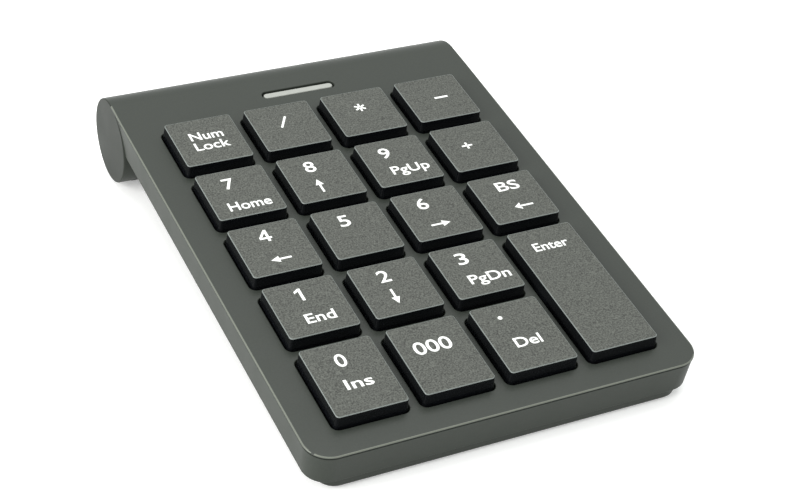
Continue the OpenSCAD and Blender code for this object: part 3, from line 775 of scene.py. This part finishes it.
def prism(bm, outline):
    """Flat closed symbol from an outline of (x, y) points."""
    low = [bm.verts.new((x, y, -LEGEND_T / 2)) for x, y in outline]
    high = [bm.verts.new((x, y, LEGEND_T / 2)) for x, y in outline]
    count = len(outline)
    for i in range(count):
        j = (i + 1) % count
        bm.faces.new((low[i], low[j], high[j], high[i]))
    bm.faces.new(low[::-1])
    bm.faces.new(high)


def bar(bm, length, width, turn):
    c, s = math.cos(turn), math.sin(turn)
    half_l, half_w = length / 2, width / 2
    corners = [(-half_l, -half_w), (half_l, -half_w), (half_l, half_w), (-half_l, half_w)]
    prism(bm, [(x * c - y * s, x * s + y * c) for x, y in corners])


def arrow(length, head, open_head=False):
    """Arrow that points to the left, with a solid head or one of two barbs."""
    tip, tail, half = -length / 2, length / 2, head * 0.5
    shaft = [(tail, SHAFT / 2), (tail, -SHAFT / 2)]
    bm = bmesh.new()
    if open_head:
        reach, barb, neck = tip + head * 0.72, 0.62, tip + 1.15
        prism(bm, [(tip, 0), (reach, half), (reach, half - barb), (neck, SHAFT / 2), *shaft,
                   (neck, -SHAFT / 2), (reach, -half + barb), (reach, -half)])
    else:
        reach = tip + head
        prism(bm, [(tip, 0), (reach, half), (reach, SHAFT / 2), *shaft, (reach, -SHAFT / 2), (reach, -half)])
    return bm


def put(target, bm, x, y, turn=0.0):
    """Adds a flat symbol to the target, turned and moved within the key top's plane."""
    move = Matrix.Translation((x, y, 0)) @ Matrix.Rotation(turn, 4, "Z")
    bmesh.ops.transform(bm, matrix=move, verts=bm.verts)
    carrier = bpy.data.meshes.new("symbol")
    bm.to_mesh(carrier)
    bm.free()
    target.from_mesh(carrier)
    bpy.data.meshes.remove(carrier)


def one():
    """Figure 1 with a flag, as tall as the other figures."""
    bm = bmesh.new()
    prism(bm, [(0.15, -1.8), (0.78, -1.8), (0.78, 1.8), (0.28, 1.8), (-0.78, 1.12), (-0.78, 0.5),
               (0.15, 1.02)])
    return bm


def four():
    """Figure 4 with an open counter: its slope with the bar's left part, and its stem with the right part."""
    bm = bmesh.new()
    prism(bm, [(-1.38, -1.0), (0.25, -1.0), (0.25, -0.45), (-0.72, -0.45), (0.25, 0.92), (0.25, 1.8),
               (-1.38, -0.42)])
    prism(bm, [(0.25, -1.8), (0.85, -1.8), (0.85, -1.0), (1.38, -1.0), (1.38, -0.45), (0.85, -0.45),
               (0.85, 1.8), (0.25, 1.8)])
    return bm


def dot(radius):
    bm = bmesh.new()
    turns = [math.tau * i / 20 for i in range(20)]
    prism(bm, [(radius * math.cos(t), radius * math.sin(t)) for t in turns])
    return bm


def strokes(*bars):
    """Symbol made of straight bars: length, width and turn in degrees."""
    bm = bmesh.new()
    for length, width, turn in bars:
        bar(bm, length, width, math.radians(turn))
    return bm


DIGIT_W, DIGIT_H, WORD_H = 2.55, 3.6, 2.8
BOLD_DIGIT, BOLD_WORD = 0.05, 0.05
# Texts of each key: the text, its width and capital height, and where its middle stands on the key top
TEXTS = {
    "key_num_lock": [("Num", 7.7, WORD_H, 0.04, 1.82), ("Lock", 8.1, WORD_H, 0.18, -1.79)],
    "key_7": [("7", DIGIT_W, DIGIT_H, -1.53, 3.28), ("Home", 9.7, WORD_H, 0.44, -4.21)],
    "key_8": [("8", DIGIT_W, DIGIT_H, -1.26, 3.65)],
    "key_9": [("9", DIGIT_W, DIGIT_H, -2.07, 3.26), ("PgUp", 9.1, WORD_H, 1.36, -3.38)],
    "key_4": [("4", DIGIT_W + 0.2, DIGIT_H, -0.67, 3.99)],
    "key_5": [("5", DIGIT_W, DIGIT_H, -1.53, 3.48)],
    "key_6": [("6", DIGIT_W, DIGIT_H, -1.75, 3.67)],
    "key_backspace": [("BS", 5.5, 3.1, 0.56, 3.87)],
    "key_1": [("1", DIGIT_W, DIGIT_H, -0.98, 3.87), ("End", 6.5, WORD_H, 0.69, -3.22)],
    "key_2": [("2", DIGIT_W, DIGIT_H, -0.98, 3.72)],
    "key_3": [("3", DIGIT_W, DIGIT_H, -1.69, 3.69), ("PgDn", 9.6, WORD_H, 1.61, -3.31)],
    "key_enter": [("Enter", 8.3, 2.6, 0.15, 13.31)],
    "key_0": [("0", DIGIT_W - 0.2, DIGIT_H, -0.70, 4.59), ("Ins", 5.9, WORD_H, 0.30, -1.99)],
    "key_triple_zero": [("000", 8.3, DIGIT_H, -0.36, 2.67)],
    "key_decimal": [("Del", 6.0, WORD_H, 0.03, -2.03)],
}
# Figures with a shape of their own
DRAWN = {"1": one, "4": four}
# Symbols of each key: how it is drawn, where its middle stands and its turn in degrees
SYMBOLS = {
    "key_divide": (lambda: strokes((4.3, 0.5, 59)), -0.42, 1.40, 0),
    "key_multiply": (lambda: strokes(*((2.8, 0.45, turn) for turn in (90, 30, -30))), -0.21, 1.55, 0),
    "key_minus": (lambda: strokes((3.4, 0.6, 0)), 1.05, -0.03, 0),
    "key_plus": (lambda: strokes((2.6, 0.5, 0), (2.2, 0.5, 90)), -1.50, 0.51, 0),
    "key_8": (lambda: arrow(4.4, 1.9), -1.53, -3.00, -90),
    "key_4": (lambda: arrow(4.6, 1.9), -0.02, -3.69, 0),
    "key_6": (lambda: arrow(4.6, 1.9), -0.68, -3.52, 180),
    "key_2": (lambda: arrow(4.4, 1.9), -1.26, -2.46, 90),
    "key_backspace": (lambda: arrow(4.6, 2.2, open_head=True), 0.99, -3.34, 0),
    "key_decimal": (lambda: dot(0.5), -2.40, 5.58, 0),
}


def build_legend(node):
    centre, _, _ = key_top(node)
    bm = bmesh.new()
    for text, width, height, x, y in TEXTS.get(node, []):
        bold = BOLD_DIGIT if text.isdigit() else BOLD_WORD
        put(bm, DRAWN[text]() if text in DRAWN else text_points(text, width, height, bold), x, y)
    if node in SYMBOLS:
        draw, x, y, turn = SYMBOLS[node]
        put(bm, draw(), x, y, math.radians(turn))
    for v in bm.verts:
        v.co.z += LEGEND_RISE - LEGEND_T / 2
        v.co.x += centre.x
        v.co.y += centre.y
    finish_piece(node + "_legend", bm, [LEGEND], body_of_key(node), smooth=30)


for key in KEYS:
    build_legend(key)


# ---------------------------------------------------------------- silicone domes under the keys
DOME_R, DOME_TOP_R, DOME_WALL = 4.2, 2.6, 0.5


def build_dome_sheet():
    half_x = (sheet_high.x - sheet_low.x) / 2
    half_y = (sheet_high.y - sheet_low.y) / 2
    centre = ((sheet_low.x + sheet_high.x) / 2, (sheet_low.y + sheet_high.y) / 2)
    bm = bmesh.new()
    loft(bm, [rounded_rect(half_x - 0.04, half_y - 0.04, 1.46, sheet_low.z, centre),
              rounded_rect(half_x, half_y, 1.5, sheet_low.z + 0.05, centre),
              rounded_rect(half_x, half_y, 1.5, DOME_BASE - 0.05, centre),
              rounded_rect(half_x - 0.04, half_y - 0.04, 1.46, DOME_BASE, centre)])
    finish_piece("dome_sheet_flat", bm, [SILICONE], "case", ["dome_sheet"])


def build_dome(node):
    centre, _, _ = key_top(node)
    height = DOME_TOP - DOME_BASE
    profile = [(DOME_R + 0.35, 0.0), (DOME_R, 0.12), (DOME_R - 0.25, 0.45),
               (DOME_TOP_R + 0.25, height - 0.55), (DOME_TOP_R, height - 0.2), (DOME_TOP_R - 0.2, height),
               (DOME_TOP_R - 0.7, height), (DOME_TOP_R - 0.7, height - 0.45),
               (DOME_TOP_R - 0.35, height - 0.7), (DOME_R - DOME_WALL, 0.0)]
    bm = bmesh.new()
    loft(bm, [circle(r, DOME_BASE + z, centre, 32) for r, z in profile])
    piece = finish_piece(node.replace("key_", "dome_"), bm, [SILICONE], "case", smooth=60)
    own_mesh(piece)


build_dome_sheet()
for key in KEYS:
    build_dome(key)


# ---------------------------------------------------------------- floor and light
def add_floor():
    bm = bmesh.new()
    half = 1.6
    for x, y in ((-half, -half), (half, -half), (half, half), (-half, half)):
        bm.verts.new((x, y, 0))
    bm.faces.new(bm.verts)
    mesh = bpy.data.meshes.new("floor")
    bm.to_mesh(mesh)
    bm.free()
    floor = bpy.data.objects.new("floor", mesh)
    scene.collection.objects.link(floor)
    material, tree, shader = new_material("floor_pale")
    tree.links.new(tinted(tree, (0.9, 0.9, 0.9), spread(tree, noise(tree, 60.0), 0.99, 1.0)),
                   shader.inputs["Base Color"])
    shader.inputs["Roughness"].default_value = 0.9
    shader.inputs["Specular IOR Level"].default_value = 0.0
    shader.inputs["Emission Color"].default_value = (1, 1, 1, 1)
    shader.inputs["Emission Strength"].default_value = 0.3
    mesh.materials.append(material)


def add_softbox(name, place, size, power, colour=(1, 1, 1)):
    """Rectangular light that points at the middle of the floor."""
    data = bpy.data.lights.new(name, "AREA")
    data.shape = "RECTANGLE"
    data.size, data.size_y = size
    data.energy = power
    data.color = colour
    light = bpy.data.objects.new(name, data)
    light.location = place
    light.rotation_euler = (-Vector(place)).to_track_quat("-Z", "Y").to_euler()
    scene.collection.objects.link(light)


def add_world():
    world = bpy.data.worlds.new("studio")
    world.use_nodes = True
    sky = world.node_tree.nodes["Background"]
    sky.inputs["Color"].default_value = (0.97, 1.0, 0.98, 1)
    sky.inputs["Strength"].default_value = 0.85
    scene.world = world


scene.view_settings.view_transform = "Standard"
scene.view_settings.look = "None"
add_floor()
add_world()
add_softbox("left_softbox", (-0.75, -0.12, 0.42), (0.7, 0.5), 7.0, (1.0, 0.99, 0.97))
add_softbox("top_softbox", (0.10, 0.25, 0.95), (0.9, 0.9), 5.0)
